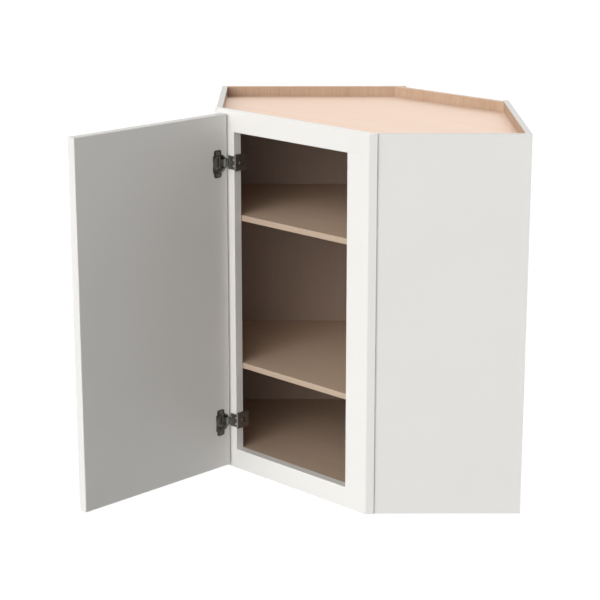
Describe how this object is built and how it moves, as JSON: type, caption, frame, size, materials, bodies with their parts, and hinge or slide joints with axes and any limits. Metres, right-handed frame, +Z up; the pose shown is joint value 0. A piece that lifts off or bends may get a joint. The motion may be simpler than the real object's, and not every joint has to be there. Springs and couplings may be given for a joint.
{
  "type": "corner wall cabinet",
  "caption": "Diagonal corner wall cabinet with a face frame, adjustable shelves and a slab door on concealed hinges.",
  "frame": {"origin": "the room corner, where both wall planes meet, level with the cabinet's underside", "axes": "+X along the rear wall towards the corner and out through the right wall, +Y out through the rear wall, +Z up; the diagonal front faces -X -Y"},
  "size_m": [0.8734, 0.6145, 0.762],
  "materials": {
    "white_paint": "smooth satin white paint",
    "maple_veneer": "clear satin lacquer on pale maple veneer",
    "dark_nickel": "dark nickel plate",
    "steel": "bright nickel plate"
  },
  "bodies": {
    "cabinet": {"side_panel_left": "white_paint", "side_panel_right": "white_paint", "wall_panel_rear": "maple_veneer", "wall_panel_right": "maple_veneer", "diagonal_back_panel": "maple_veneer", "top_panel": "maple_veneer", "bottom_panel": "maple_veneer", "stile_left": "white_paint", "stile_right": "white_paint", "rail_bottom": "white_paint", "rail_top": "white_paint", "shelf_upper": "maple_veneer", "shelf_lower": "maple_veneer", "shelf_pin_lower_left_front": "steel", "shelf_pin_lower_left_rear": "steel", "shelf_pin_lower_back_left": "steel", "shelf_pin_lower_back_right": "steel", "shelf_pin_lower_right_rear": "steel", "shelf_pin_lower_right_front": "steel", "shelf_pin_upper_left_front": "steel", "shelf_pin_upper_left_rear": "steel", "shelf_pin_upper_back_left": "steel", "shelf_pin_upper_back_right": "steel", "shelf_pin_upper_right_rear": "steel", "shelf_pin_upper_right_front": "steel", "hinge_lower_arm": "dark_nickel", "hinge_lower_frame_plate": "dark_nickel", "hinge_lower_frame_screw": "steel", "hinge_lower_adjuster": "steel", "hinge_upper_arm": "dark_nickel", "hinge_upper_frame_plate": "dark_nickel", "hinge_upper_frame_screw": "steel", "hinge_upper_adjuster": "steel"},
    "door": {"door_panel": "white_paint", "hinge_lower_cup": "dark_nickel", "hinge_lower_cup_screw_bottom": "steel", "hinge_lower_cup_screw_top": "steel", "hinge_lower_pin": "steel", "hinge_upper_cup": "dark_nickel", "hinge_upper_cup_screw_bottom": "steel", "hinge_upper_cup_screw_top": "steel", "hinge_upper_pin": "steel"}
  },
  "joints": [
    {"name": "door_hinge", "type": "hinge", "parent": "cabinet", "child": "door", "pos_m": [-0.59991, -0.33804, 0.381], "axis": [0, 0, -1], "range_deg": [-90, 15]}
  ]
}
